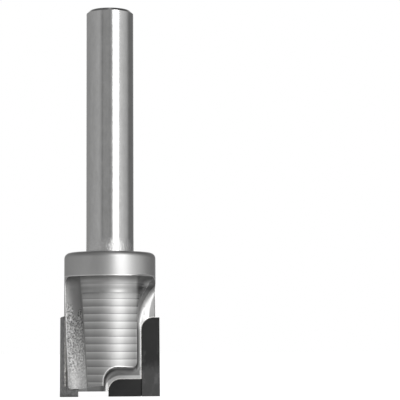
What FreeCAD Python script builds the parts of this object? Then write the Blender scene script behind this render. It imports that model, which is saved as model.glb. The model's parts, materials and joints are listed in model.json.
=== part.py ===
import FreeCAD, Part
import math
import os

# Straight two-edge router bit with brazed diamond tips, in millimetres.
# +Z runs up the shank, the origin is on the axis in the plane of the lowest cutting edges.
# Both side tips lie in one web plane that leans back by the shear angle, so that one edge
# cuts upwards and the other cuts downwards. The leading tip is the one at +X.

# Overall sizes
cutting_diameter = 25.0
cutting_length = 19.8
head_setback = 1.0
head_height = 36.0
head_rim_radius = 1.5

# Shank
shank_diameter = 12.0
shank_length = 62.0
shank_chamfer = 0.7

# The head is turned to the setback inside the cutting circle
head_diameter = cutting_diameter - 2 * head_setback

# Web plane that both pairs of tips are set against
shear_angle = 5.6
shear_height = 10.0

# Diamond tips: a diamond layer sintered on a carbide backing
tip_thickness = 3.2
diamond_thickness = 0.8
side_tip_width = 4.6
side_tip_corner = 3.2
end_tip_height = 4.3
end_tip_length = 8.3
end_tip_corner = 3.1
side_clearance_angle = 10.0
end_clearance_angle = 8.0
braze_gap = 0.15

# Chip pockets: a stepped core, a round cove behind each tooth and a gullet before each tip
core_diameter = 17.4
pocket_top = 29.9
track_end_angle = 24.0
cove_bite = 0.35
cove_radius = 3.0
tooth_thickness = 4.0
step_pitch = 1.86
step_depth = 0.08
step_count = 14
last_step_height = 24.2
gullet_margin = 1.2
gullet_corner = 1.1
gullet_runout_height = 16.6
gullet_runout_radius = 14.0
gullet_runout_turn = 55.0
gullet_lip_radius = 22.0
gullet_lip_turn = 32.0
end_gullet_margin = 2.4
end_gullet_corner = 3.5
gullet_inner_corner = 1.5

# Lower end of the steel body
end_recess = 1.3
end_relief_angle = 12.5

# Spare length by which a cutting shape passes the metal that it cuts
overshoot = 2.0
cut_floor = -2 * overshoot

# Distances under this count as nothing
match = 1e-6


def vec(x, y, z):
    return FreeCAD.Vector(x, y, z)


def to_web(shape):
    """Leans a shape drawn upright into the plane of the web."""
    leaned = shape.copy()
    leaned.rotate(vec(0, 0, shear_height), vec(1, 0, 0), -shear_angle)
    return leaned


def half_turn(shape):
    """Turns a shape half a turn about the axis."""
    turned = shape.copy()
    turned.rotate(vec(0, 0, 0), vec(0, 0, 1), 180)
    return turned


def line(start, end):
    return Part.LineSegment(start, end).toShape()


def arc(start, middle, end):
    return Part.Arc(start, middle, end).toShape()


def rounded_outline(corners):
    """Closed wire in the XZ plane from (x, z, corner radius), each corner a tangent arc."""
    count = len(corners)
    points = [vec(x, 0, z) for x, z, radius in corners]
    entries = []
    for index in range(count):
        here = points[index]
        before = (points[index - 1] - here).normalize()
        after = (points[(index + 1) % count] - here).normalize()
        radius = corners[index][2]
        if radius == 0:
            entries.append((here, here, here))
            continue
        half_angle = before.getAngle(after) / 2
        setback = radius / math.tan(half_angle)
        inward = (before + after).normalize()
        centre = here + inward * (radius / math.sin(half_angle))
        entries.append((here + before * setback, centre - inward * radius, here + after * setback))
    edges = []
    for index in range(count):
        start, middle, end = entries[index]
        if (start - end).Length > match:
            edges.append(arc(start, middle, end))
        following = entries[(index + 1) % count][0]
        edges.append(line(end, following))
    return Part.Wire(edges)


def slab(outline, front, back):
    """Solid from an outline in the XZ plane, between two places along Y."""
    face = Part.Face(outline)
    solid = face.extrude(vec(0, back - front, 0))
    solid.translate(vec(0, front, 0))
    return solid


def head_blank():
    """Turned blank: ground shank and the full round head."""
    head_radius = head_diameter / 2
    shank_radius = shank_diameter / 2
    top = head_height + shank_length
    rim_low = head_height - head_rim_radius
    rim_in = head_radius - head_rim_radius
    lean = head_rim_radius * math.sqrt(0.5)
    rim_middle = vec(rim_in + lean, 0, rim_low + lean)
    edges = [
        line(vec(0, 0, end_recess), vec(head_radius, 0, end_recess)),
        line(vec(head_radius, 0, end_recess), vec(head_radius, 0, rim_low)),
        arc(vec(head_radius, 0, rim_low), rim_middle, vec(rim_in, 0, head_height)),
        line(vec(rim_in, 0, head_height), vec(shank_radius, 0, head_height)),
        line(vec(shank_radius, 0, head_height), vec(shank_radius, 0, top - shank_chamfer)),
        line(vec(shank_radius, 0, top - shank_chamfer), vec(shank_radius - shank_chamfer, 0, top)),
        line(vec(shank_radius - shank_chamfer, 0, top), vec(0, 0, top)),
        line(vec(0, 0, top), vec(0, 0, end_recess)),
    ]
    return Part.Face(Part.Wire(edges)).revolve(vec(0, 0, 0), vec(0, 0, 1), 360)


def stepped_core():
    """Core that the pockets leave, with one shallow round step for each pass of the cutter."""
    core_radius = core_diameter / 2
    top = pocket_top
    edges = [line(vec(0, 0, top), vec(core_radius, 0, top))]
    edges.append(line(vec(core_radius, 0, top), vec(core_radius, 0, last_step_height)))
    for step in range(step_count):
        high = last_step_height - step * step_pitch
        low = high - step_pitch
        hollow = vec(core_radius - step_depth, 0, (high + low) / 2)
        edges.append(arc(vec(core_radius, 0, high), hollow, vec(core_radius, 0, low)))
    bottom = last_step_height - step_count * step_pitch
    edges.append(line(vec(core_radius, 0, bottom), vec(0, 0, bottom)))
    edges.append(line(vec(0, 0, bottom), vec(0, 0, top)))
    return Part.Face(Part.Wire(edges)).revolve(vec(0, 0, 0), vec(0, 0, 1), 360)


def web_lean(height):
    """Place of the web plane along Y at a height."""
    return (height - shear_height) * math.tan(math.radians(shear_angle))


def cove_centre(height, lean_sign):
    """Centre of the cove cutter at a height: it bites the core a little and follows the web's lean."""
    reach = core_diameter / 2 + cove_radius - cove_bite
    away = lean_sign * web_lean(height) - tooth_thickness - cove_radius
    return vec(-math.sqrt(reach * reach - away * away), away, height)


def cutter_track(lean_sign):
    """Room that the round cutter leaves: up behind the tooth, across the top and down the far side."""
    track_top = pocket_top - cove_radius
    low = cove_centre(-overshoot, lean_sign)
    corner = cove_centre(track_top, lean_sign)
    path = corner - low
    reach = math.hypot(corner.x, corner.y)
    start_angle = math.degrees(math.atan2(corner.y, corner.x))
    far_angle = math.radians(-track_end_angle)
    far_corner = vec(reach * math.cos(far_angle), reach * math.sin(far_angle), track_top)
    section = Part.Wire([Part.Circle(corner, vec(-corner.y, corner.x, 0), cove_radius).toShape()])
    sweep_angle = -track_end_angle - start_angle
    track = Part.makeCylinder(cove_radius, path.Length, low, path)
    track = track.fuse(Part.makeSphere(cove_radius, corner))
    track = track.fuse(Part.Face(section).revolve(vec(0, 0, 0), vec(0, 0, 1), sweep_angle))
    track = track.fuse(Part.makeSphere(cove_radius, far_corner))
    drop = vec(0, 0, -1)
    return track.fuse(Part.makeCylinder(cove_radius, track_top, far_corner, drop))


def pocket_ring(lean_sign):
    """What the cutter removes on the front side: the ring outside the core and its round track."""
    track_top = pocket_top - cove_radius
    reach = head_diameter
    wires = []
    for level in (-overshoot, track_top):
        centre = cove_centre(level, lean_sign)
        outward = reach / math.hypot(centre.x, centre.y)
        corners = [
            vec(0, 0, level),
            vec(centre.x * outward, centre.y * outward, level),
            vec(centre.x * outward, -reach, level),
            vec(reach, -reach, level),
            vec(reach, -reach * math.tan(math.radians(track_end_angle)), level),
        ]
        wires.append(Part.makePolygon(corners + [corners[0]]))
    ring = Part.makeLoft(wires, True, True).cut(stepped_core())
    return ring.fuse(cutter_track(lean_sign))


def runout_point(wall, radius, angle):
    """Place on an arc that leaves the upright gullet wall; a negative radius and angle bend it inwards."""
    turn = math.radians(angle)
    return vec(wall + radius * (1 - math.cos(turn)), 0, gullet_runout_height + radius * math.sin(turn))


def gullet_outline(has_end_tip, radius, angle):
    """Closed wire round a gullet in the XZ plane, with the given runout above its upright wall."""
    tip_inside = cutting_diameter / 2 - side_tip_width
    wall = tip_inside - gullet_margin
    top = gullet_runout_height
    low = cut_floor
    out = vec(cutting_diameter, 0, head_height)
    end = runout_point(wall, radius, angle)
    edges = [
        arc(vec(wall, 0, top), runout_point(wall, radius, angle / 2), end),
        line(end, out),
        line(out, vec(out.x, 0, low)),
    ]
    if has_end_tip:
        inside = tip_inside - end_tip_length - gullet_margin
        roof = end_tip_height + end_gullet_margin
        corner = gullet_inner_corner
        lean = corner * math.sqrt(0.5)
        bend = end_gullet_corner
        bend_lean = bend * math.sqrt(0.5)
        edges.append(line(vec(out.x, 0, low), vec(inside, 0, low)))
        edges.append(line(vec(inside, 0, low), vec(inside, 0, roof - bend)))
        bend_middle = vec(inside + bend - bend_lean, 0, roof - bend + bend_lean)
        edges.append(arc(vec(inside, 0, roof - bend), bend_middle, vec(inside + bend, 0, roof)))
        edges.append(line(vec(inside + bend, 0, roof), vec(wall - corner, 0, roof)))
        corner_middle = vec(wall - corner + lean, 0, roof + corner - lean)
        edges.append(arc(vec(wall - corner, 0, roof), corner_middle, vec(wall, 0, roof + corner)))
        edges.append(line(vec(wall, 0, roof + corner), vec(wall, 0, top)))
    else:
        edges.append(line(vec(out.x, 0, low), vec(wall, 0, low)))
        edges.append(line(vec(wall, 0, low), vec(wall, 0, top)))
    return Part.Wire(edges)


def side_gullet(has_end_tip):
    """Recess in front of a tip, down to the web plane, with a leaning runout and a rounded foot."""
    foot_outline = gullet_outline(has_end_tip, gullet_runout_radius, gullet_runout_turn)
    lip_outline = gullet_outline(has_end_tip, -gullet_lip_radius, -gullet_lip_turn)
    lip_outline.translate(vec(0, -cutting_diameter / 2, 0))
    recess = Part.makeLoft([foot_outline, lip_outline], True, True)
    foot = []
    for edge in recess.Edges:
        box = edge.BoundBox
        at_foot = abs(box.YMin) < match and abs(box.YMax) < match
        inner = box.ZMax > cut_floor + match and box.XMax < cutting_diameter - match
        if at_foot and inner:
            foot.append(edge)
    return recess.makeFillet(gullet_corner, foot)


def side_tip_outline(spread):
    """Outline of a side tip, or of its seat when spread is the braze gap."""
    outside = cutting_diameter / 2 + overshoot
    inside = cutting_diameter / 2 - side_tip_width - spread
    top = cutting_length + spread
    low = cut_floor
    return rounded_outline([
        (outside, low, 0),
        (outside, top, 0),
        (inside, top, side_tip_corner + spread),
        (inside, low, 0),
    ])


def end_tip_outline(spread):
    """Outline of the end tip, or of its seat when spread is the braze gap."""
    outside = cutting_diameter / 2 - side_tip_width - braze_gap + spread
    inside = cutting_diameter / 2 - side_tip_width - end_tip_length - spread
    top = end_tip_height + spread
    low = cut_floor
    return rounded_outline([
        (outside, low, 0),
        (outside, top, 0),
        (inside, top, end_tip_corner + spread),
        (inside, low, 0),
    ])


def ground_side():
    """Space inside the ground clearance face behind a leading side edge."""
    radius = cutting_diameter / 2
    angle = math.radians(side_clearance_angle)
    low = cut_floor - overshoot
    centre = vec(radius - radius * math.cos(angle), -radius * math.sin(angle), low)
    return Part.makeCylinder(radius, head_height - low, centre)


def above_end_plane(foot, angle):
    """Space above an end plane that climbs towards +Y, or towards -Y when the angle is negative."""
    size = 4 * cutting_diameter
    edge_back = web_lean(0)
    block = Part.makeBox(size, size, size, vec(-size / 2, edge_back - size / 2, foot))
    block.rotate(vec(0, edge_back, foot), vec(1, 0, 0), angle)
    return block


def tip_layers(outline):
    """Diamond layer and carbide backing of one leading tip, drawn upright in the web's own frame."""
    diamond = slab(outline, 0, diamond_thickness).common(ground_side())
    carbide = slab(outline, diamond_thickness, tip_thickness).common(ground_side())
    return diamond, carbide


def leading_tip(outline):
    """Both layers of a tip in front of the axis at +X, with its end clearance ground."""
    clearance = above_end_plane(0, end_clearance_angle)
    return [to_web(layer).common(clearance) for layer in tip_layers(outline)]


def trailing_tip(outline):
    """Both layers of the opposite tip at -X, with its end clearance ground."""
    clearance = above_end_plane(0, -end_clearance_angle)
    return [to_web(half_turn(layer)).common(clearance) for layer in tip_layers(outline)]


def seats():
    """Recesses milled for the tips and their braze: the leading pair as one, and the trailing one."""
    back = tip_thickness + braze_gap
    side_seat = slab(side_tip_outline(braze_gap), 0, back)
    end_seat = slab(end_tip_outline(braze_gap), 0, back)
    leading = to_web(side_seat.fuse(end_seat).removeSplitter())
    trailing = to_web(half_turn(side_seat))
    return leading, trailing


def end_planes():
    """Space above the two end planes, which meet in a low ridge along the web."""
    front = above_end_plane(end_recess, -end_relief_angle)
    back = above_end_plane(end_recess, end_relief_angle)
    return front.common(back)


def tool_body(leading_seat, trailing_seat):
    """One-piece steel body: shank, head, two chip pockets, their gullets and the tip seats."""
    body = head_blank().common(end_planes())
    body = body.cut(pocket_ring(1))
    body = body.cut(half_turn(pocket_ring(-1)))
    body = body.cut(to_web(side_gullet(True)))
    body = body.cut(to_web(half_turn(side_gullet(False))))
    body = body.cut(leading_seat)
    body = body.cut(trailing_seat)
    return body.removeSplitter()


def braze(seat, tips):
    """Braze that fills the thin gap between a seat and its tips."""
    filler = seat.common(head_blank()).common(end_planes())
    for tip in tips:
        filler = filler.cut(tip)
    return filler


def save(shape, name):
    """Writes one piece as a STEP file named after its node."""
    solids = [solid for solid in shape.Solids if solid.Volume > 1e-4]
    print(name, len(solids), "solids", round(sum(solid.Volume for solid in solids), 3), "mm3", shape.isValid())
    piece = solids[0] if len(solids) == 1 else Part.makeCompound(solids)
    piece.exportStep("parts/" + name + ".step")


def main():
    os.makedirs("parts", exist_ok=True)
    leading_seat, trailing_seat = seats()
    side = leading_tip(side_tip_outline(0))
    end = leading_tip(end_tip_outline(0))
    opposite = trailing_tip(side_tip_outline(0))
    save(tool_body(leading_seat, trailing_seat), "tool_body")
    save(side[0], "side_tip_diamond")
    save(side[1], "side_tip_carbide")
    save(end[0], "end_tip_diamond")
    save(end[1], "end_tip_carbide")
    save(opposite[0], "opposite_tip_diamond")
    save(opposite[1], "opposite_tip_carbide")
    save(braze(leading_seat, side + end), "leading_braze")
    save(braze(trailing_seat, opposite), "opposite_braze")


main()
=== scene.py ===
import json
import logging
import math
from dataclasses import dataclass, field, fields
from enum import Enum
from typing import Any

import bmesh
import bpy
import numpy as np
from mathutils import Matrix, Quaternion, Vector

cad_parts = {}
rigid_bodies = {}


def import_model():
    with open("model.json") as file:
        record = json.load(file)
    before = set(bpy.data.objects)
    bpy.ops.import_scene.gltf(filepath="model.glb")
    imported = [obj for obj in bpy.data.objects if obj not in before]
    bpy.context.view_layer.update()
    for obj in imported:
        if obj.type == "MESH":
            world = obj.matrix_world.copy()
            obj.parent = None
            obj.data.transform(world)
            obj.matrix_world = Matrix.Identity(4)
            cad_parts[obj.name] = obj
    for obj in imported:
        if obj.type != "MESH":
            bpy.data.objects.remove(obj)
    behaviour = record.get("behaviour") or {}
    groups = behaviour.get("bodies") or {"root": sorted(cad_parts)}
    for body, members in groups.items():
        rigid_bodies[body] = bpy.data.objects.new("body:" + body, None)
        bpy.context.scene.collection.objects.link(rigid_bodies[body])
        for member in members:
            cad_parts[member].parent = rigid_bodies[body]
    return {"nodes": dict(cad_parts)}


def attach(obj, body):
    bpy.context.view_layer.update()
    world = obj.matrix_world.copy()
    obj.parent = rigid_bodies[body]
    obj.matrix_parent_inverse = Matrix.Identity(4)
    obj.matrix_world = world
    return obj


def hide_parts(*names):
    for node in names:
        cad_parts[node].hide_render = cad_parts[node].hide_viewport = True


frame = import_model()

logging.basicConfig(level=logging.INFO, format="%(message)s")
LOG = logging.getLogger("router_bit")
MM = 0.001
WHITE = (1.0, 1.0, 1.0)
# A span is where a change starts and where it is full, or for a band its centre and its width.
Span = tuple[float, float]
Triple = tuple[float, float, float]


class Slot(Enum):
    """Material slots of the record."""

    STEEL = "steel"
    DIAMOND = "diamond"
    CARBIDE = "carbide"
    BRAZE = "braze"


@dataclass(frozen=True)
class ToolSizes:
    """Sizes of the real tool that its finishes and its braze follow, in millimetres and degrees."""

    cutting_radius: float = 12.5
    head_radius: float = 11.5
    head_top: float = 36.0
    pocket_top: float = 29.9
    core_radius: float = 8.7
    last_step: float = 24.2
    step_pitch: float = 1.86
    side_tip_width: float = 4.6
    end_tip_height: float = 4.3
    end_tip_length: float = 8.3
    end_tip_corner: float = 3.1
    gullet_margin: float = 1.2
    end_gullet_margin: float = 2.4
    end_gullet_corner: float = 3.5
    end_clearance: float = 8.0
    tip_thickness: float = 3.2
    braze_gap: float = 0.15
    shear_angle: float = 5.6
    shear_height: float = 10.0

    @property
    def tip_inside(self) -> float:
        """How far out the inner edge of a side tip lies."""
        return self.cutting_radius - self.side_tip_width

    @property
    def tip_joint(self) -> float:
        """How far out the middle of the joint between the end tip and the side tip lies."""
        return self.tip_inside - self.braze_gap / 2


SIZES = ToolSizes()


def above(base: float, span: Span) -> Span:
    """A span that is measured from a base."""
    return base + span[0], base + span[1]


@dataclass(frozen=True)
class Signal:
    """A socket of a node tree, so that shader maths reads as Python expressions."""

    bench: "Bench"
    socket: bpy.types.NodeSocket | None

    def apply(self, operation: str, *others: Any) -> "Signal":
        """Adds a Math node on this value and the others."""
        return self.bench.node("ShaderNodeMath", {"operation": operation}, dict(enumerate((self, *others))))

    def __add__(self, other: Any) -> "Signal":
        """Sum of two values."""
        return self.apply("ADD", other)

    def __sub__(self, other: Any) -> "Signal":
        """Difference of two values."""
        return self.apply("SUBTRACT", other)

    def __mul__(self, other: Any) -> "Signal":
        """Product of two values."""
        return self.apply("MULTIPLY", other)

    def __rsub__(self, other: Any) -> "Signal":
        """A number minus this value."""
        return self.bench.node("ShaderNodeMath", {"operation": "SUBTRACT"}, {0: other, 1: self})

    __radd__ = __add__
    __rmul__ = __mul__

    def power(self, exponent: float) -> "Signal":
        """This value to a power."""
        return self.apply("POWER", exponent)

    def size(self) -> "Signal":
        """This value without its sign."""
        return self.apply("ABSOLUTE")

    def sign(self) -> "Signal":
        """1 above nothing, -1 below."""
        return self.apply("SIGN")

    def ramp(self, low: float, high: float) -> "Signal":
        """Smooth step from 0 at low to 1 at high; low may be the larger number.

        Args:
            low: value that gives 0.
            high: value that gives 1.

        Returns:
            The stepped value.
        """
        settings = {"interpolation_type": "SMOOTHSTEP"}
        if low < high:
            return self.bench.node("ShaderNodeMapRange", settings, {"Value": self, 1: low, 2: high})
        return 1.0 - self.bench.node("ShaderNodeMapRange", settings, {"Value": self, 1: high, 2: low})

    def band(self, centre: float, width: float) -> "Signal":
        """1 at the centre, falling smoothly to 0 at a width to either side."""
        return (self - centre).size().ramp(width, 0.0)


@dataclass(frozen=True)
class Grain:
    """A pattern of noise, and how strongly it changes a finish where it is used.

    The scale is features to a millimetre, and a squeeze under 1 draws the pattern out along that axis. Tone
    and blur weigh what it adds to the tone and the roughness, and relief is its height in millimetres.
    """

    scale: float
    detail: float
    rough: float
    squeeze: Triple | None = None
    tone: float = 0.0
    blur: float = 0.0
    relief: float = 0.0


class Bench:
    """A node tree under work, with one method that makes any node."""

    BEVEL_SAMPLES = 4
    # Cosine between the rounded and the true normal, where an edge starts and where it is full.
    EDGE_TURN = (0.995, 0.90)

    def __init__(self, tree: bpy.types.NodeTree) -> None:
        """Clears the tree.

        Args:
            tree: tree of a material or a world.
        """
        self.tree = tree
        tree.nodes.clear()

    def node(
            self, kind: str, settings: dict | None = None, inputs: dict | None = None,
            out: str | int = 0) -> Signal:
        """Makes a node, sets it and feeds its sockets.

        Args:
            kind: Blender's type name of the node.
            settings: attributes, set before the inputs; "stops" are a ramp's places and tones.
            inputs: numbers, colours or signals by socket name or index.
            out: name or index of the output that is returned.

        Returns:
            The chosen output as a signal.
        """
        made = self.tree.nodes.new(kind)
        for name, value in (settings or {}).items():
            if name == "stops":
                self._set_stops(made.color_ramp, value)
            else:
                setattr(made, name, value)
        for name, value in (inputs or {}).items():
            socket = made.inputs[name]
            if isinstance(value, Signal):
                self.tree.links.new(value.socket, socket)
            else:
                socket.default_value = value
        return Signal(self, made.outputs[out] if made.outputs else None)

    @staticmethod
    def _set_stops(ramp: bpy.types.ColorRamp, stops: tuple[tuple[float, float], ...]) -> None:
        """Gives a ramp its stops, each a place and a tone.

        Args:
            ramp: the ramp, which has two stops from the start.
            stops: the places and tones, in order.
        """
        for place, _ in stops[2:]:
            ramp.elements.new(place)
        for element, (place, tone) in zip(ramp.elements, stops):
            element.position = place
            element.color = (tone, tone, tone, 1.0)

    def split(self, vector: Signal) -> tuple[Signal, Signal, Signal]:
        """The x, y and z of a vector."""
        x = self.node("ShaderNodeSeparateXYZ", {}, {0: vector})
        return x, *(Signal(self, x.socket.node.outputs[axis]) for axis in (1, 2))

    def place(self) -> Signal:
        """Object coordinates in millimetres."""
        coordinate = self.node("ShaderNodeTexCoord", out="Object")
        return self.node("ShaderNodeVectorMath", {"operation": "SCALE"}, {0: coordinate, "Scale": 1 / MM})

    def noise(self, vector: Signal, grain: Grain) -> Signal:
        """Makes noise centred on nothing, about a half each way.

        Args:
            vector: place in millimetres.
            grain: the pattern.

        Returns:
            The noise.
        """
        if grain.squeeze:
            squeezed = {0: vector, 1: grain.squeeze}
            vector = self.node("ShaderNodeVectorMath", {"operation": "MULTIPLY"}, squeezed)
        inputs = {"Vector": vector, "Scale": grain.scale, "Detail": grain.detail, "Roughness": grain.rough}
        return self.node("ShaderNodeTexNoise", {}, inputs) - 0.5

    def bevel(self, radius: float) -> Signal:
        """Normal rounded over the edges within a radius in millimetres."""
        return self.node("ShaderNodeBevel", {"samples": self.BEVEL_SAMPLES}, {"Radius": radius * MM})

    def edge(self, radius: float) -> Signal:
        """Finds sharp edges from how far the rounded normal turns away from the true one.

        Args:
            radius: how far the edges reach, in millimetres.

        Returns:
            1 along the edges and 0 elsewhere.
        """
        flat = self.node("ShaderNodeNewGeometry", out="Normal")
        normals = {0: self.bevel(radius), 1: flat}
        turn = self.node("ShaderNodeVectorMath", {"operation": "DOT_PRODUCT"}, normals, "Value")
        return turn.ramp(*self.EDGE_TURN)

    def grey(self, value: Any, tint: Triple = WHITE) -> Signal:
        """Colour of one tone, tinted; a Mix node's colours are its inputs 6 and 7 and its output 2."""
        sockets = {0: value, 6: (0.0, 0.0, 0.0, 1.0), 7: (*tint, 1.0)}
        return self.node("ShaderNodeMix", {"data_type": "RGBA"}, sockets, 2)

    def bump(self, height: Signal, normal: Signal) -> Signal:
        """Normal bent by a height in millimetres."""
        inputs = {"Strength": 1.0, "Distance": MM, "Height": height, "Normal": normal}
        return self.node("ShaderNodeBump", {}, inputs)

    def surface(self, kind: str, inputs: dict) -> None:
        """Makes a shader node and links it to the output.

        Args:
            kind: Blender's type name of the shader.
            inputs: values of its sockets.
        """
        shader = self.node(kind, {}, inputs)
        output = "ShaderNodeOutputWorld" if kind == "ShaderNodeBackground" else "ShaderNodeOutputMaterial"
        self.node(output, {}, {"Surface": shader})


def new_bench(name: str) -> tuple[bpy.types.Material, Bench]:
    """Starts a material with an empty node tree.

    Args:
        name: name of the material.

    Returns:
        The material, and a bench on its tree.
    """
    material = bpy.data.materials.new(name)
    material.use_nodes = True
    return material, Bench(material.node_tree)


@dataclass(frozen=True)
class Zones:
    """Where the surfaces of the steel body lie, most of them 1 inside and 0 outside.

    Side is how far a place lies towards the coves, or with a minus towards the tips, and depth how far it
    stands from the web plane. Upright is the height along that plane. These and x and z are in millimetres.
    Front is 1 on the end tip's side, and inside is 1 inside the gullets.
    """

    place: Signal
    x: Signal
    z: Signal
    shank: Signal
    root: Signal
    pocket: Signal
    core: Signal
    cove: Signal
    side: Signal
    depth: Signal
    upright: Signal
    front: Signal
    inside: Signal


@dataclass(frozen=True)
class ZoneMap:
    """How the zones are found from the tool's sizes; a span runs from outside a zone to well inside it."""

    shank_start: Span = (0.1, 0.3)
    root_end: Span = (4.5, 1.5)
    pocket_wall: Span = (-0.08, -0.2)
    pocket_roof: Span = (0.1, -0.1)
    cove_edge: float = 6.85
    cove_lean: float = 0.062
    cove_height: float = 21.0
    cove_blur: Span = (-0.1, 0.1)
    floor_margin: float = 0.2
    core_skin: Span = (0.25, 0.05)
    gullet_skin: Span = (-0.12, -0.22)
    gullet_side: Span = (3.0, 1.5)
    front_blur: Span = (0.0, -0.01)

    def find(self, bench: Bench) -> Zones:
        """Finds the surfaces from object coordinates.

        The web plane leans the other way on the other side, so its sign follows x.

        Args:
            bench: tree of the material.

        Returns:
            The zones.
        """
        place = bench.place()
        x, y, z = bench.split(place)
        radius = (x * x + y * y).power(0.5)
        shank = z.ramp(*above(SIZES.head_top, self.shank_start))
        pocket = radius.ramp(*above(SIZES.head_radius, self.pocket_wall))
        pocket = pocket * z.ramp(*above(SIZES.pocket_top, self.pocket_roof))
        lean = math.radians(SIZES.shear_angle)
        web = y - x.sign() * (z - SIZES.shear_height) * math.tan(lean)
        facing = web - x.sign() * self.floor_margin
        side = x * facing.sign()
        cove = (side - (z - self.cove_height) * self.cove_lean).ramp(*above(self.cove_edge, self.cove_blur))
        cove = cove * pocket
        inside = radius.ramp(*above(SIZES.core_radius, self.gullet_skin))
        core = radius.ramp(*above(SIZES.core_radius, self.core_skin)) * (1.0 - inside)
        return Zones(
            place=place, x=x, z=z, shank=shank, root=shank * z.ramp(*above(SIZES.head_top, self.root_end)),
            pocket=pocket, core=core * pocket * (1.0 - cove), cove=cove, side=side, depth=web.size(),
            upright=z - web.size() * math.sin(lean), front=facing.ramp(*self.front_blur),
            inside=inside * side.ramp(*self.gullet_side) * pocket)


@dataclass(frozen=True)
class PaintedStepShading:
    """Painted step shading: painted light and shade in the tone where the cutter's passes left steps up the
    core.
    """

    end: float = 0.3
    # slope is the painted gradient of each pass, from a pale top to a darker foot.
    slope: float = 0.24
    foot: Span = (0.13, 0.02)
    foot_shade: float = 0.16
    crest: Span = (0.80, 0.95)
    crest_glow: float = 0.10
    bright_side: Span = (2.0, -1.0)
    dull_share: float = 0.15
    upper_lines: tuple[Span, ...] = ((28.0, 0.16), (27.2, 0.14))
    line_shade: float = 0.14
    collar: Span = (26.6, 1.8)
    collar_shade: float = 0.06

    def tone(self, zones: Zones) -> Signal:
        """Works out the painted step shading: each pass has painted light at its top and painted shade
        towards its foot, with a painted dark line.

        Args:
            zones: where the surfaces lie.

        Returns:
            What the painted step shading adds to the tone.
        """
        phase = ((zones.z - SIZES.last_step) * (1 / SIZES.step_pitch)).apply("FRACT")
        below = zones.z.ramp(SIZES.last_step + self.end, SIZES.last_step)
        bright = self.dull_share + zones.side.ramp(*self.bright_side) * (1 - self.dull_share)
        foot = phase.ramp(*self.foot) * bright * self.foot_shade
        crest = phase.ramp(*self.crest) * (1.0 - bright) * self.crest_glow
        # Painted light at the top of each pass and painted shade at its foot; on the lit side the foot is
        # darker, on the other side the crest is paler.
        step_shading = below * ((phase - 0.5) * self.slope - foot + crest)
        # Painted dark lines at two upper steps, stronger on the lit side, then painted shade in a band under
        # the collar.
        for height, width in self.upper_lines:
            step_shading = step_shading - zones.z.band(height, width) * bright * self.line_shade
        return step_shading - zones.z.band(*self.collar) * self.collar_shade


@dataclass(frozen=True)
class CoveFinish:
    """Blasted cove behind each tooth: smooth and dark at its top, speckled towards its foot, with painted
    light that makes it paler towards the foot and in the hollow.
    """

    base: float = 0.31
    roughness: float = 0.62
    foot: Span = (24.0, 3.0)
    foot_glow: float = 0.14
    hollow_side: Span = (9.8, 7.4)
    hollow_height: Span = (23.0, 4.0)
    hollow_glow: float = 0.33
    speckle_top: Span = (23.5, 21.5)
    ragged: Grain = Grain(0.5, 3.0, 0.6, relief=3.0)
    valley: Span = (8.45, 1.1)
    valley_drop: float = 3.5
    worn_foot: Span = (8.5, 5.0)
    worn_share: float = 0.55
    grain: Grain = Grain(2.7, 2.0, 0.55, (1.0, 1.0, 0.85), tone=1.35, relief=0.12)

    def tone(self, zones: Zones) -> Signal:
        """Tone of the cove without its speckle, with painted light towards the foot and in the hollow."""
        hollow = zones.side.ramp(*self.hollow_side) * zones.z.ramp(*self.hollow_height)
        return self.base + zones.z.ramp(*self.foot) * self.foot_glow + hollow * self.hollow_glow

    def speckle(self, bench: Bench, zones: Zones) -> Signal:
        """Makes the speckle, whose ragged top hangs lower along a valley and which fades at the foot.

        Args:
            bench: tree of the material.
            zones: where the surfaces lie.

        Returns:
            The speckle's grain, 0 where there is none.
        """
        ragged = bench.noise(zones.place, self.ragged) * self.ragged.relief
        valley = zones.x.size().band(*self.valley) * self.valley_drop
        below = (zones.z + ragged + valley).ramp(*self.speckle_top)
        kept = 1.0 - zones.z.ramp(*self.worn_foot) * self.worn_share
        return zones.cove * below * kept * bench.noise(zones.place, self.grain)


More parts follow.
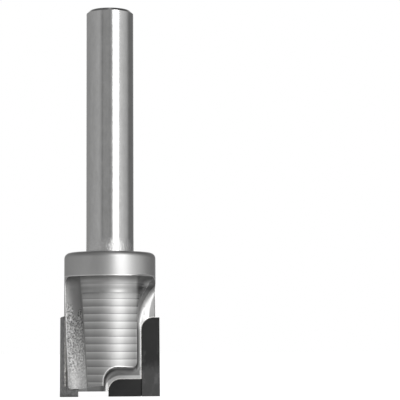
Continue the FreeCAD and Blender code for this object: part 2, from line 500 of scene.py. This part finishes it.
@dataclass(frozen=True)
class GulletFinish:
    """Gullets in front of the tips: painted shade on the walls with a painted highlight at the foot, and
    painted light on the floor at the run-out.
    """

    run_out: Span = (16.0, 19.0)
    end_cut: Span = (6.9, 6.2)
    wall_start: Span = (-6.3, -6.6)
    wall_end: Span = (-7.75, -7.60)
    tip_distance: Span = (0.80, 1.10)
    tip_side: Span = (-7.7, -7.2)
    wall_shade: float = 0.30
    lip: Span = (0.10, 0.28)
    lip_side: Span = (-6.4, -5.0)
    lip_glow: float = 0.50
    flank: Span = (-6.5, 0.2)
    flank_glow: float = 0.12
    smoke_side: Span = (-6.3, -7.2)
    smoke_depth: Span = (0.9, 1.3)
    smoke_shade: float = 0.24
    smoke_cloud: float = 0.35
    ledge_side: Span = (-7.4, -7.8)
    ledge_depth: Span = (1.1, 0.8)
    ledge_glow: float = 0.04
    crescent: Span = (-9.7, -10.2)
    crescent_shade: float = 0.14
    sweep_height: float = 20.0
    sweep_curve: float = 0.045
    slope: Span = (-8.2, -10.0)
    slope_drop: float = 0.33

    def tone(self, zones: Zones, cloud: Signal) -> Signal:
        """Works out painted shade on the walls, painted highlights at the foot, lip and flank, a mottled
        painted shadow in the run-out, and painted light on its floor that gives way to painted shade past the
        crescent.

        Args:
            zones: where the surfaces lie.
            cloud: soft noise that mottles the painted shadow.

        Returns:
            What the gullets add to the tone.
        """
        high = zones.z.ramp(*self.run_out)
        low = zones.upright.ramp(*self.end_cut) * zones.front
        tip_end = SIZES.tip_inside - SIZES.end_tip_length
        # Painted shade on the gullet walls, and on the wall beside the end tip.
        wall = zones.side.ramp(*self.wall_start) * zones.side.ramp(*self.wall_end)
        wall = wall * (1.0 - high) * (1.0 - low)
        tip_gap = self._gap(zones, tip_end, SIZES.end_tip_height, SIZES.end_tip_corner)
        wall = wall + tip_gap.ramp(*self.tip_distance) * low * zones.side.ramp(*self.tip_side)
        # Painted highlights along the lip of the end gullet and along the flank.
        lip = self._gap(
            zones, tip_end - SIZES.gullet_margin, SIZES.end_tip_height + SIZES.end_gullet_margin,
            SIZES.end_gullet_corner)
        lip = lip.band(*self.lip) * zones.front * zones.core * zones.side.ramp(*self.lip_side)
        flank = zones.side.band(*self.flank) * zones.core * (1.0 - high)
        # Mottled painted shadow in the run-out.
        run_out_shadow = zones.side.ramp(*self.smoke_side) * zones.depth.ramp(*self.smoke_depth) * high * zones.pocket
        ledge, sweep = self._ledge(zones)
        # Painted light on the ledge, with painted shade past the crescent where the floor sweeps away.
        floor = ledge * (self.ledge_glow - sweep.ramp(*self.crescent) * self.crescent_shade)
        return (run_out_shadow * (cloud * self.smoke_cloud - self.smoke_shade) - zones.inside * wall * self.wall_shade
                + floor + lip * self.lip_glow + flank * self.flank_glow)

    def drop(self, zones: Zones) -> Signal:
        """How far the run-out's floor falls away towards the outside, in millimetres."""
        ledge, sweep = self._ledge(zones)
        return ledge * sweep.ramp(*self.slope) * self.slope_drop

    def _ledge(self, zones: Zones) -> tuple[Signal, Signal]:
        """Finds the floor of the gullet above the tip, where the cutter was swept out.

        Args:
            zones: where the surfaces lie.

        Returns:
            Where the floor lies, and how far a place lies across the cutter's curved sweep.
        """
        rise = zones.z - self.sweep_height
        ledge = zones.side.ramp(*self.ledge_side) * zones.depth.ramp(*self.ledge_depth)
        ledge = ledge * zones.z.ramp(*self.run_out) * zones.pocket
        return ledge, zones.side + rise * rise * self.sweep_curve

    @staticmethod
    def _gap(zones: Zones, end: float, roof: float, corner: float) -> Signal:
        """Measures how far a place lies outside an outline with one rounded corner.

        Args:
            zones: where the surfaces lie.
            end: how far the outline's upright end lies towards the tips.
            roof: height of its roof.
            corner: radius of its corner.

        Returns:
            The distance in millimetres, with a minus inside.
        """
        across = (zones.side + (end + corner)).apply("MAXIMUM", 0.0)
        up = (zones.upright - (roof - corner)).apply("MAXIMUM", 0.0)
        return (across * across + up * up).power(0.5) - corner


@dataclass(frozen=True)
class SteelFinish:
    """Satin tool steel: ground shank, turned head, milled pockets and blasted coves."""

    tone: float = 0.45
    shank_tone: float = 0.53
    core_tone: float = 0.49
    tint: Triple = (1.0, 0.998, 0.99)
    head_roughness: float = 0.43
    shank_roughness: float = 0.14
    core_roughness: float = 0.52
    root_blur: float = 0.06
    core_shade_side: Span = (0.0, 4.0)
    core_shade: float = 0.09
    collar: Span = (26.7, 2.0)
    collar_blur: float = 0.16
    throat: Span = (27.0, 1.2)
    throat_shade: float = 0.13
    throat_blur: float = 0.16
    rim_rise: float = 0.12
    rim_width: float = 0.16
    rim_glow: float = 0.25
    wear_radius: float = 0.20
    wear_glow: float = 0.45
    edge_radius: float = 0.08
    cloud: Grain = Grain(0.16, 3.0, 0.55, tone=0.08, blur=0.06)
    smear: Grain = Grain(0.55, 4.0, 0.6, (1.0, 1.0, 0.35), tone=0.06)
    turned: Grain = Grain(1.0, 3.0, 0.6, (0.05, 0.05, 7.0), tone=0.05, blur=0.06, relief=0.0025)
    streak: Grain = Grain(1.0, 3.0, 0.6, (0.9, 0.9, 0.05), tone=0.08)
    pick: Grain = Grain(1.6, 3.0, 0.7, (1.6, 1.6, 0.8), blur=0.25, relief=0.12)
    worn: Grain = Grain(0.9, 5.0, 0.72, (1.0, 1.0, 0.5), tone=0.16, blur=0.10, relief=0.015)
    zone_map: ZoneMap = ZoneMap()
    steps: PaintedStepShading = PaintedStepShading()
    coves: CoveFinish = CoveFinish()
    gullets: GulletFinish = GulletFinish()

    def material(self) -> bpy.types.Material:
        """Builds the material.

        Returns:
            Steel whose tone, roughness and relief follow the zones of the tool.
        """
        made, bench = new_bench("satin_tool_steel")
        zones = self.zone_map.find(bench)
        core, cove, shank = zones.core, zones.cove, zones.shank
        patterns = (self.cloud, self.smear, self.turned, self.streak, self.pick, self.worn)
        cloud, smear, turned, streak, pick, worn = (bench.noise(zones.place, grain) for grain in patterns)
        speckle = self.coves.speckle(bench, zones)
        milled = zones.pocket * (1.0 - cove)
        throat = milled * (1.0 - core) * zones.z.band(*self.throat)
        rim = zones.z.band(SIZES.pocket_top + self.rim_rise, self.rim_width) * (1.0 - zones.pocket)

        brushed = streak * self.streak.tone + worn * self.worn.tone
        tone = self.tone + cloud * self.cloud.tone + smear * self.smear.tone
        tone = tone + shank * (self.shank_tone - self.tone + brushed) + milled * (self.core_tone - self.tone)
        # The core takes the painted shading of the cutter's steps.
        tone = tone + core * (turned * self.turned.tone + self.steps.tone(zones))
        # Painted shade on one side of the core.
        tone = tone - core * zones.side.ramp(*self.core_shade_side) * self.core_shade
        # Painted shade in the throat under the pocket's roof.
        tone = tone - throat * self.throat_shade + cove * (self.coves.tone(zones) - self.tone)
        # The gullets add painted shade, painted shadow, painted light and painted highlights.
        tone = tone + speckle * self.coves.grain.tone + self.gullets.tone(zones, cloud)
        # Painted highlights along the sharp edges and along the rim just above the pocket.
        tone = tone + (bench.edge(self.wear_radius) * self.wear_glow + rim * self.rim_glow) * (1.0 - shank)

        rough = self.head_roughness + cloud * self.cloud.blur + throat * self.throat_blur
        rough = rough + shank * (self.shank_roughness - self.head_roughness + worn * self.worn.blur)
        rough = rough + core * (self.core_roughness - self.head_roughness + turned * self.turned.blur)
        rough = rough + core * zones.z.band(*self.collar) * self.collar_blur
        rough = rough + cove * (self.coves.roughness - self.head_roughness)
        rough = rough + zones.root * (self.root_blur + pick * self.pick.blur)

        height = turned * core * self.turned.relief + zones.root * pick * self.pick.relief
        height = height + speckle * self.coves.grain.relief + shank * worn * self.worn.relief
        height = height - self.gullets.drop(zones)
        bench.surface("ShaderNodeBsdfPrincipled", {
            "Base Color": bench.grey(tone, self.tint), "Metallic": 1.0, "Roughness": rough,
            "Normal": bench.bump(height, bench.bevel(self.edge_radius))})
        return made


@dataclass(frozen=True)
class DiamondFinish:
    """Lapped polycrystalline diamond: near black, paler and smudged low on the side tips."""

    dark: float = 0.016
    pale: float = 0.085
    roughness: float = 0.36
    specular: float = 0.35
    side_tips: Span = (8.0, 8.1)
    ragged: float = 6.0
    low: Span = (9.0, 5.5)
    low_share: float = 0.85
    smear: Span = (0.00, 0.16)
    smear_height: Span = (14.0, 9.0)
    smear_share: float = 0.6
    smudge: Grain = Grain(0.55, 4.0, 0.6, (1.0, 0.4, 0.45), tone=0.03, blur=0.16)
    lapping: Grain = Grain(14.0, 2.0, 0.6, tone=0.006, blur=0.06, relief=0.003)
    wear_radius: float = 0.14
    wear_shade: float = 0.012
    edge_radius: float = 0.05

    def material(self) -> bpy.types.Material:
        """Builds the material.

        Returns:
            Dark semi-gloss with soft smudges and a fine lapped grain.
        """
        made, bench = new_bench("lapped_diamond_layer")
        place = bench.place()
        x, _, z = bench.split(place)
        side = x.size().ramp(*self.side_tips)
        smudge = bench.noise(place, self.smudge)
        lapping = bench.noise(place, self.lapping)
        low = (z + smudge * self.ragged).ramp(*self.low) * side
        smear = side * smudge.ramp(*self.smear) * z.ramp(*self.smear_height)
        pale = low * self.low_share + smear * self.smear_share
        tone = self.dark + pale * (self.pale - self.dark) + lapping * self.lapping.tone
        # Darker along the edges.
        tone = tone + low * smudge * self.smudge.tone - bench.edge(self.wear_radius) * self.wear_shade
        rough = self.roughness + smudge * self.smudge.blur + lapping * self.lapping.blur
        bench.surface("ShaderNodeBsdfPrincipled", {
            "Base Color": bench.grey(tone), "Roughness": rough, "Specular IOR Level": self.specular,
            "Normal": bench.bump(lapping * self.lapping.relief, bench.bevel(self.edge_radius))})
        return made


@dataclass(frozen=True)
class CarbideFinish:
    """Ground tungsten carbide: dark grey metal with grinding lines along the edge."""

    tone: float = 0.22
    roughness: float = 0.34
    lines: Grain = Grain(1.0, 3.0, 0.65, (7.0, 7.0, 0.35), tone=0.24, blur=0.16, relief=0.005)
    mottle: Grain = Grain(0.9, 3.0, 0.6, tone=0.42)
    edge_radius: float = 0.05

    def material(self) -> bpy.types.Material:
        """Builds the material.

        Returns:
            Dark metal with straight grinding lines and a mottled tone.
        """
        made, bench = new_bench("ground_carbide_backing")
        place = bench.place()
        lines = bench.noise(place, self.lines)
        tone = self.tone + lines * self.lines.tone + bench.noise(place, self.mottle) * self.mottle.tone
        rough = self.roughness + lines * self.lines.blur
        bench.surface("ShaderNodeBsdfPrincipled", {
            "Base Color": bench.grey(tone), "Metallic": 1.0, "Roughness": rough,
            "Normal": bench.bump(lines * self.lines.relief, bench.bevel(self.edge_radius))})
        return made


@dataclass(frozen=True)
class BrazeFinish:
    """Silver braze as it set, bright and wrinkled, with dark flux left in the joint between two tips."""

    tone: float = 0.62
    tint: Triple = (1.0, 0.985, 0.95)
    roughness: float = 0.36
    wrinkle: Grain = Grain(2.2, 4.0, 0.65, tone=0.4, blur=0.3, relief=0.12)
    pits: Grain = Grain(5.5, 2.0, 0.6, relief=0.03)
    pit_edge: Span = (-0.14, -0.06)
    pit_tone: float = 0.45
    flux_reach: float = 0.5
    flux_top: Span = (0.1, 0.0)
    flux_edge: Span = (0.2, 0.6)
    flux_shade: float = 0.97
    flux_blur: float = 0.4
    edge_radius: float = 0.04

    def material(self) -> bpy.types.Material:
        """Builds the material.

        Returns:
            Bright rough metal with wrinkles, dark pits and a black joint line.
        """
        made, bench = new_bench("silver_braze")
        place = bench.place()
        x, _, z = bench.split(place)
        wrinkle = bench.noise(place, self.wrinkle)
        whole = bench.noise(place, self.pits).ramp(*self.pit_edge)
        flux = x.band(SIZES.tip_joint, self.flux_reach) * z.ramp(*above(SIZES.end_tip_height, self.flux_top))
        flux = flux.ramp(*self.flux_edge)
        tone = (self.tone + wrinkle * self.wrinkle.tone) * (self.pit_tone + whole * (1 - self.pit_tone))
        tone = tone * (1.0 - flux * self.flux_shade)
        rough = self.roughness + wrinkle * self.wrinkle.blur + flux * self.flux_blur
        height = wrinkle * self.wrinkle.relief + whole * self.pits.relief
        bench.surface("ShaderNodeBsdfPrincipled", {
            "Base Color": bench.grey(tone, self.tint), "Metallic": 1.0, "Roughness": rough,
            "Normal": bench.bump(height, bench.bevel(self.edge_radius))})
        return made


def dress(piece: bpy.types.Object, material: bpy.types.Material) -> None:
    """Gives every material slot of a piece the same finish.

    Args:
        piece: the piece, with or without slots.
        material: its finish.
    """
    if not piece.material_slots:
        piece.data.materials.append(material)
    for slot in piece.material_slots:
        slot.material = material


def add_piece(name: str, mesh: bpy.types.Mesh) -> bpy.types.Object:
    """Puts a mesh into the scene as a piece at the origin.

    Args:
        name: name of the piece.
        mesh: its mesh, with its place in it.

    Returns:
        The piece.
    """
    piece = bpy.data.objects.new(name, mesh)
    bpy.context.scene.collection.objects.link(piece)
    return piece


def tube_mesh(name: str, points: np.ndarray) -> bpy.types.Object:
    """Makes a closed tube from rings of points, with a fan at each end.

    Args:
        name: name of the piece.
        points: array of rings by ring points by 3, in metres.

    Returns:
        The piece, with smooth faces that point outwards.
    """
    rings, around, _ = points.shape
    ring = np.arange(rings - 1)[:, None] * around
    step = np.arange(around)[None, :]
    ahead = (step + 1) % around
    quads = np.stack((ring + step, ring + ahead, ring + around + ahead, ring + around + step), -1)
    ends = points[[0, -1]].mean(1)
    low, high = rings * around, rings * around + 1
    last = (rings - 1) * around
    caps = np.concatenate((
        np.stack((np.full(around, low), ahead[0], step[0]), -1),
        np.stack((np.full(around, high), last + step[0], last + ahead[0]), -1)))
    vertices = np.concatenate((points.reshape(-1, 3), ends))
    mesh = bpy.data.meshes.new(name)
    mesh.from_pydata(vertices.tolist(), [], quads.reshape(-1, 4).tolist() + caps.tolist())
    work = bmesh.new()
    work.from_mesh(mesh)
    bmesh.ops.recalc_face_normals(work, faces=work.faces)
    work.to_mesh(mesh)
    work.free()
    mesh.shade_smooth()
    return add_piece(name, mesh)


@dataclass(frozen=True)
class WebPlane:
    """The leaning plane that both side tips are set against."""

    angle: float = SIZES.shear_angle
    pivot_height: float = SIZES.shear_height

    def lean(self, points: np.ndarray) -> np.ndarray:
        """Turns points drawn upright about the X axis at the pivot height.

        Args:
            points: array of points in millimetres.

        Returns:
            The points as they lie in the tool.
        """
        turn = np.array(Matrix.Rotation(math.radians(-self.angle), 3, "X"))
        pivot = np.array((0.0, 0.0, self.pivot_height))
        return (points - pivot) @ turn.T + pivot


@dataclass
class ToolBody:
    """The one-piece steel body, shown as a smooth copy of its solid."""

    node: str = "tool_body"
    crease: float = 17.0
    merge: float = 1e-6
    finish: SteelFinish = field(default_factory=SteelFinish)

    def build(self) -> bpy.types.Object:
        """Copies the solid's triangles, merges their corners and shades them smooth up to the crease angle.

        Returns:
            The steel piece, which stands for the solid.
        """
        source = frame["nodes"][self.node].data
        points = np.empty(len(source.vertices) * 3, dtype=np.float32)
        source.vertices.foreach_get("co", points)
        corners = np.empty(len(source.loops), dtype=np.int32)
        source.loops.foreach_get("vertex_index", corners)
        mesh = bpy.data.meshes.new("steel_body")
        mesh.from_pydata(points.reshape(-1, 3).tolist(), [], corners.reshape(-1, 3).tolist())
        work = bmesh.new()
        work.from_mesh(mesh)
        bmesh.ops.remove_doubles(work, verts=work.verts, dist=self.merge)
        work.to_mesh(mesh)
        work.free()
        mesh.shade_smooth()
        mesh.set_sharp_from_angle(angle=math.radians(self.crease))
        piece = add_piece("steel_body", mesh)
        dress(piece, self.finish.material())
        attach(piece, "root")
        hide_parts(self.node)
        LOG.info("steel body: %d triangles", len(mesh.polygons))
        return piece


@dataclass
class Tips:
    """The diamond and carbide layers and the braze films, which keep their solids and take finishes."""

    diamond_nodes: tuple[str, ...] = ("side_tip_diamond", "end_tip_diamond", "opposite_tip_diamond")
    carbide_nodes: tuple[str, ...] = ("side_tip_carbide", "end_tip_carbide", "opposite_tip_carbide")
    braze_nodes: tuple[str, ...] = ("leading_braze", "opposite_braze")

    def dress(self, braze: bpy.types.Material) -> None:
        """Gives each layer its finish.

        Args:
            braze: finish of the braze films.
        """
        finishes = (
            (self.diamond_nodes, DiamondFinish().material()),
            (self.carbide_nodes, CarbideFinish().material()),
            (self.braze_nodes, braze))
        for nodes, material in finishes:
            for name in nodes:
                dress(frame["nodes"][name], material)
                LOG.info("tip layer %s: %s", name, material.name)


def add_braze(name: str, points: np.ndarray, material: bpy.types.Material) -> bpy.types.Object:
    """Args:
        name: name of the piece.
        points: array of rings by ring points by 3, in millimetres.
        material: braze finish.

    Returns:
        The piece.
    """
    piece = tube_mesh(name, points * MM)
    dress(piece, material)
    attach(piece, "root")
    LOG.info("%s: %d faces", name, len(piece.data.polygons))
    return piece


@dataclass
class BrazeBead:
    """A lumpy bead of braze along the foot of a tip, in the web's upright frame, in millimetres."""

    name: str
    start: Triple
    end: Triple
    radius: float
    lump: float
    seed: int
    rings: int = 90
    around: int = 20
    waves: int = 7
    lobes: int = 3
    first_rate: float = 1.0
    rate_step: float = 0.9
    wave_fade: float = 0.4
    blunt: float = 0.02
    across: Triple = (0.3, 0.9, 0.2)

    def build(self, web: WebPlane, material: bpy.types.Material) -> bpy.types.Object:
        """Sweeps a circle along the bead; its radius swells by a sum of sines along times cosines around.

        The radius falls to a blunt end with the square root of the distance to it.

        Args:
            web: plane that the bead leans with.
            material: braze finish.

        Returns:
            The bead as a closed mesh.
        """
        start, end = np.array(self.start), np.array(self.end)
        length = np.linalg.norm(end - start)
        along = (end - start) / length
        side = np.cross(along, self.across)
        side /= np.linalg.norm(side)
        rise = np.cross(along, side)
        share = np.linspace(0.0, 1.0, self.rings)[:, None]
        turn = np.linspace(0.0, 2 * np.pi, self.around, endpoint=False)[None, :]
        random = np.random.default_rng(self.seed)
        swell = np.zeros((self.rings, self.around))
        for wave in range(self.waves):
            rate = length * (self.first_rate + self.rate_step * wave)
            phase, twist = random.uniform(0, 2 * np.pi, 2)
            ripple = np.sin(rate * share + phase) * np.cos((wave % self.lobes) * turn + twist)
            swell += ripple / (1 + self.wave_fade * wave)
        taper = np.clip(np.minimum(share, 1 - share) * length / (2 * self.radius), self.blunt, 1.0) ** 0.5
        radius = self.radius * taper * (1 + self.lump * swell / 2)
        centre = start + share * (end - start)
        points = centre[:, None, :] + radius[..., None] * (
            np.cos(turn)[..., None] * side + np.sin(turn)[..., None] * rise)
        return add_braze(self.name, web.lean(points), material)


@dataclass
class BrazeBeads:
    """All the beads that show behind the tips, and the braze in the joint between two of them.

    Places are in the web's upright frame, in millimetres. Side beads run up the flank from low to high, and
    back is how far behind the web plane the beads lie.
    """

    back: float = 3.3
    flank: float = 11.12
    low: float = 2.1
    high: float = 19.6
    side_rings: int = 160
    joint_points: int = 24
    joint_rings: int = 6
    joint_overlap: float = 0.01
    joint_foot: float = 0.04
    joint_roof: float = 0.05
    joint_front: float = 0.03
    joint_rear: float = 0.1
    joint_powers: tuple[float, float] = (0.5, 0.2)

    def joint(self, web: WebPlane, material: bpy.types.Material) -> None:
        """Fills the thin joint between the end tip and the side tip below the steel.

        The section is a flat superellipse: x is the cosine and z the sine, each with its sign and to its own
        power. It is swept along y, and its foot rises with the end clearance.

        Args:
            web: plane that the joint leans with.
            material: braze finish.
        """
        half_width = SIZES.braze_gap / 2 + self.joint_overlap
        turn = np.linspace(0.0, 2 * np.pi, self.joint_points, endpoint=False)
        across, up = (
            np.sign(wave) * np.abs(wave) ** power
            for wave, power in zip((np.cos(turn), np.sin(turn)), self.joint_powers))
        back = np.linspace(self.joint_front, SIZES.tip_thickness - self.joint_rear, self.joint_rings)
        back = back[:, None] * np.ones_like(turn)
        base = self.joint_foot + math.tan(math.radians(SIZES.end_clearance)) * back
        top = SIZES.end_tip_height - self.joint_roof
        x = SIZES.tip_joint + half_width * across + 0 * back
        points = np.stack((x, back, (base + top) / 2 + (top - base) / 2 * up), -1)
        add_braze("tip_joint", web.lean(points), material)

    def build(self, web: WebPlane, material: bpy.types.Material) -> None:
        """Lays a bead behind each side tip and one behind each lower tip edge, and fills the joint.

        Args:
            web: plane that the beads lean with.
            material: braze finish.
        """
        flank, back, low, high = self.flank, self.back, self.low, self.high
        beads = (
            BrazeBead(
                "leading_side_bead", start=(flank, back, low), end=(flank + 0.1, back, high),
                radius=0.20, lump=0.5, seed=3, rings=self.side_rings),
            BrazeBead(
                "leading_end_bead", start=(0.5, back + 0.2, 1.75), end=(10.6, back + 0.2, 1.85),
                radius=0.48, lump=0.45, seed=5),
            BrazeBead(
                "opposite_side_bead", start=(-flank, -back, low), end=(-flank, -back, high),
                radius=0.18, lump=0.5, seed=7, rings=self.side_rings),
            BrazeBead(
                "opposite_end_bead", start=(-8.5, -back - 0.15, 1.85), end=(-10.6, -back - 0.1, 1.8),
                radius=0.36, lump=0.4, seed=9))
        for bead in beads:
            bead.build(web, material)
        self.joint(web, material)


@dataclass(frozen=True)
class Panel:
    """A board of the room between two azimuths in degrees: 0 is behind the camera, and 90 to its right."""

    left: float
    right: float
    left_strength: float
    right_strength: float


@dataclass(frozen=True)
class Room:
    """What the steel mirrors all round; between two panels the strength runs evenly from one to the next."""

    peak: float = 3.0
    back_left: Panel = Panel(-180, -172, 1.00, 0.95)
    left_wall: Panel = Panel(-158, -56, 0.36, 0.60)
    left_card: Panel = Panel(-44, -43, 0.50, 0.50)
    left_gap: Panel = Panel(-38.5, -37.5, 0.30, 0.30)
    front_wall: Panel = Panel(-32, -5, 0.43, 0.44)
    front_gap: Panel = Panel(-0.5, 0.5, 0.36, 0.36)
    front_right_wall: Panel = Panel(4, 12, 0.42, 0.60)
    bright_panel: Panel = Panel(17, 39, 2.80, 2.80)
    spill: Panel = Panel(45, 90, 1.05, 0.58)
    dark_card: Panel = Panel(107, 155, 0.24, 0.22)
    back_right: Panel = Panel(172, 180, 0.95, 1.00)

    def strength(self, bench: Bench, x: Signal, y: Signal) -> Signal:
        """Works out the strength of the walls towards a place or in a direction.

        Args:
            bench: tree of the world or the floor.
            x: how far it lies to the right of the tool.
            y: how far it lies behind the tool.

        Returns:
            The strength.
        """
        turn = x.apply("ARCTAN2", 0.0 - y)
        share = turn * (0.5 / math.pi) + 0.5
        panels = [getattr(self, item.name) for item in fields(self) if item.type is Panel]
        ends = [end for panel in panels for end in (
            (panel.left, panel.left_strength), (panel.right, panel.right_strength))]
        stops = tuple((0.5 + azimuth / 360, strength / self.peak) for azimuth, strength in ends)
        return bench.node("ShaderNodeValToRGB", {"stops": stops}, {0: share}) * self.peak


@dataclass
class Studio:
    """Pale floor, white backdrop, one soft lamp and the camera of the photograph, in metres and degrees."""

    distance: float = 0.380
    eye_height: float = 0.0133
    aim: Triple = (0.0229, 0.0, 0.0495)
    roll: float = -0.34
    pixels_per_mm: float = 3.95
    frame_pixels: float = 400.0
    clip: tuple[float, float] = (0.01, 20.0)
    floor_reach: float = 1.5
    floor_glow: float = 0.90
    floor_grey: float = 0.40
    near_floor: Span = (14.0, 60.0)
    near_share: float = 0.35
    far_gain: float = 0.55
    backdrop: Span = (0.97, 0.99)
    ceiling: Span = (0.25, 0.8)
    ceiling_shade: float = 0.55
    lamp_place: Triple = (0.21, -0.36, 0.25)
    lamp_aim: Triple = (0.0, 0.0, 0.04)
    lamp_size: tuple[float, float] = (0.20, 0.30)
    lamp_power: float = 0.5
    room: Room = field(default_factory=Room)

    def floor(self) -> None:
        """Lays a floor that takes a faint shadow, reads as white and mirrors the walls into the metal.

        The mirrored walls are dimmer near the tool, a painted shadow of the tool for the metal to mirror, and
        near_floor is in millimetres from its axis.
        """
        reach, grey = self.floor_reach, self.floor_grey
        outline = [(-reach, -reach, 0), (reach, -reach, 0), (reach, reach, 0), (-reach, reach, 0)]
        mesh = bpy.data.meshes.new("floor")
        mesh.from_pydata(outline, [], [(0, 1, 2, 3)])
        piece = add_piece("floor", mesh)
        material, bench = new_bench("pale_floor")
        x, y, _ = bench.split(bench.place())
        # Painted shadow: the mirrored walls are dimmer near the tool.
        share = self.near_share + (x * x + y * y).power(0.5).ramp(*self.near_floor) * self.far_gain
        camera, mirrored = self._rays(bench)
        strength = camera * self.floor_glow + mirrored * self.room.strength(bench, x, y) * share
        glow = bench.node("ShaderNodeEmission", {}, {"Color": (*WHITE, 1.0), "Strength": strength})
        matt = bench.node("ShaderNodeBsdfDiffuse", {}, {"Color": (grey, grey, grey, 1.0)})
        both = bench.node("ShaderNodeAddShader", {}, {0: glow, 1: matt})
        bench.node("ShaderNodeOutputMaterial", {}, {"Surface": both})
        dress(piece, material)

    @staticmethod
    def _rays(bench: Bench) -> tuple[Signal, Signal]:
        """Tells rays apart.

        Args:
            bench: tree of the world or the floor.

        Returns:
            1 for rays from the camera, and 1 for rays from glossy or clear surfaces.
        """
        camera = bench.node("ShaderNodeLightPath", out="Is Camera Ray")
        outputs = camera.socket.node.outputs
        return camera, Signal(bench, outputs["Is Glossy Ray"]) + Signal(bench, outputs["Is Transmission Ray"])

    def world(self) -> None:
        """Sets a world that is white to the camera, and the room all round for light and reflections.

        The room is dim overhead. Metal mirrors white where it mirrors what lies straight behind the tool.
        """
        world = bpy.data.worlds.new("studio")
        bpy.context.scene.world = world
        world.use_nodes = True
        bench = Bench(world.node_tree)
        x, y, z = bench.split(bench.node("ShaderNodeTexCoord", out="Generated"))
        camera, mirrored = self._rays(bench)
        backdrop = mirrored * y.ramp(*self.backdrop)
        walls = self.room.strength(bench, x, y) * (1.0 - z.ramp(*self.ceiling) * self.ceiling_shade)
        walls = walls * (1.0 - backdrop) + backdrop
        strength = camera + (1.0 - camera) * walls
        bench.surface("ShaderNodeBackground", {"Color": (*WHITE, 1.0), "Strength": strength})

    def lamp(self) -> None:
        """Hangs a soft panel high at the right, which gives the floor its faint shadow."""
        light = bpy.data.lights.new("right_panel", "AREA")
        light.shape = "RECTANGLE"
        light.size, light.size_y = self.lamp_size
        light.energy = self.lamp_power
        piece = bpy.data.objects.new("right_panel", light)
        piece.location = self.lamp_place
        piece.rotation_euler = (Vector(self.lamp_aim) - piece.location).to_track_quat("-Z", "Y").to_euler()
        bpy.context.scene.collection.objects.link(piece)

    def camera(self) -> None:
        """Places the camera level with the cutter, looking slightly up and to the right of the tool."""
        data = bpy.data.cameras.new("camera")
        piece = bpy.data.objects.new("camera", data)
        bpy.context.scene.collection.objects.link(piece)
        piece.location = (0.0, -self.distance, self.eye_height)
        turn = (Vector(self.aim) - piece.location).to_track_quat("-Z", "Y")
        piece.rotation_euler = (turn @ Quaternion((0, 0, 1), math.radians(self.roll))).to_euler()
        data.sensor_fit = "HORIZONTAL"
        data.lens = data.sensor_width * self.distance * self.pixels_per_mm / MM / self.frame_pixels
        data.clip_start, data.clip_end = self.clip
        bpy.context.scene.camera = piece

    def build(self) -> None:
        """Sets the whole studio."""
        self.floor()
        self.world()
        self.lamp()
        self.camera()
        bpy.context.scene.view_settings.view_transform = "Standard"
        LOG.info("studio set")


def corners(box: tuple[Vector, Vector]) -> list[list[float]]:
    """A box as plain lists of numbers."""
    return [list(corner) for corner in box]


def main() -> None:
    """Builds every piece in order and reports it."""
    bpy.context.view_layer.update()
    braze = BrazeFinish().material()
    web = WebPlane()
    ToolBody().build()
    Tips().dress(braze)
    BrazeBeads().build(web, braze)
    Studio().build()


if __name__ == "__main__":
    main()
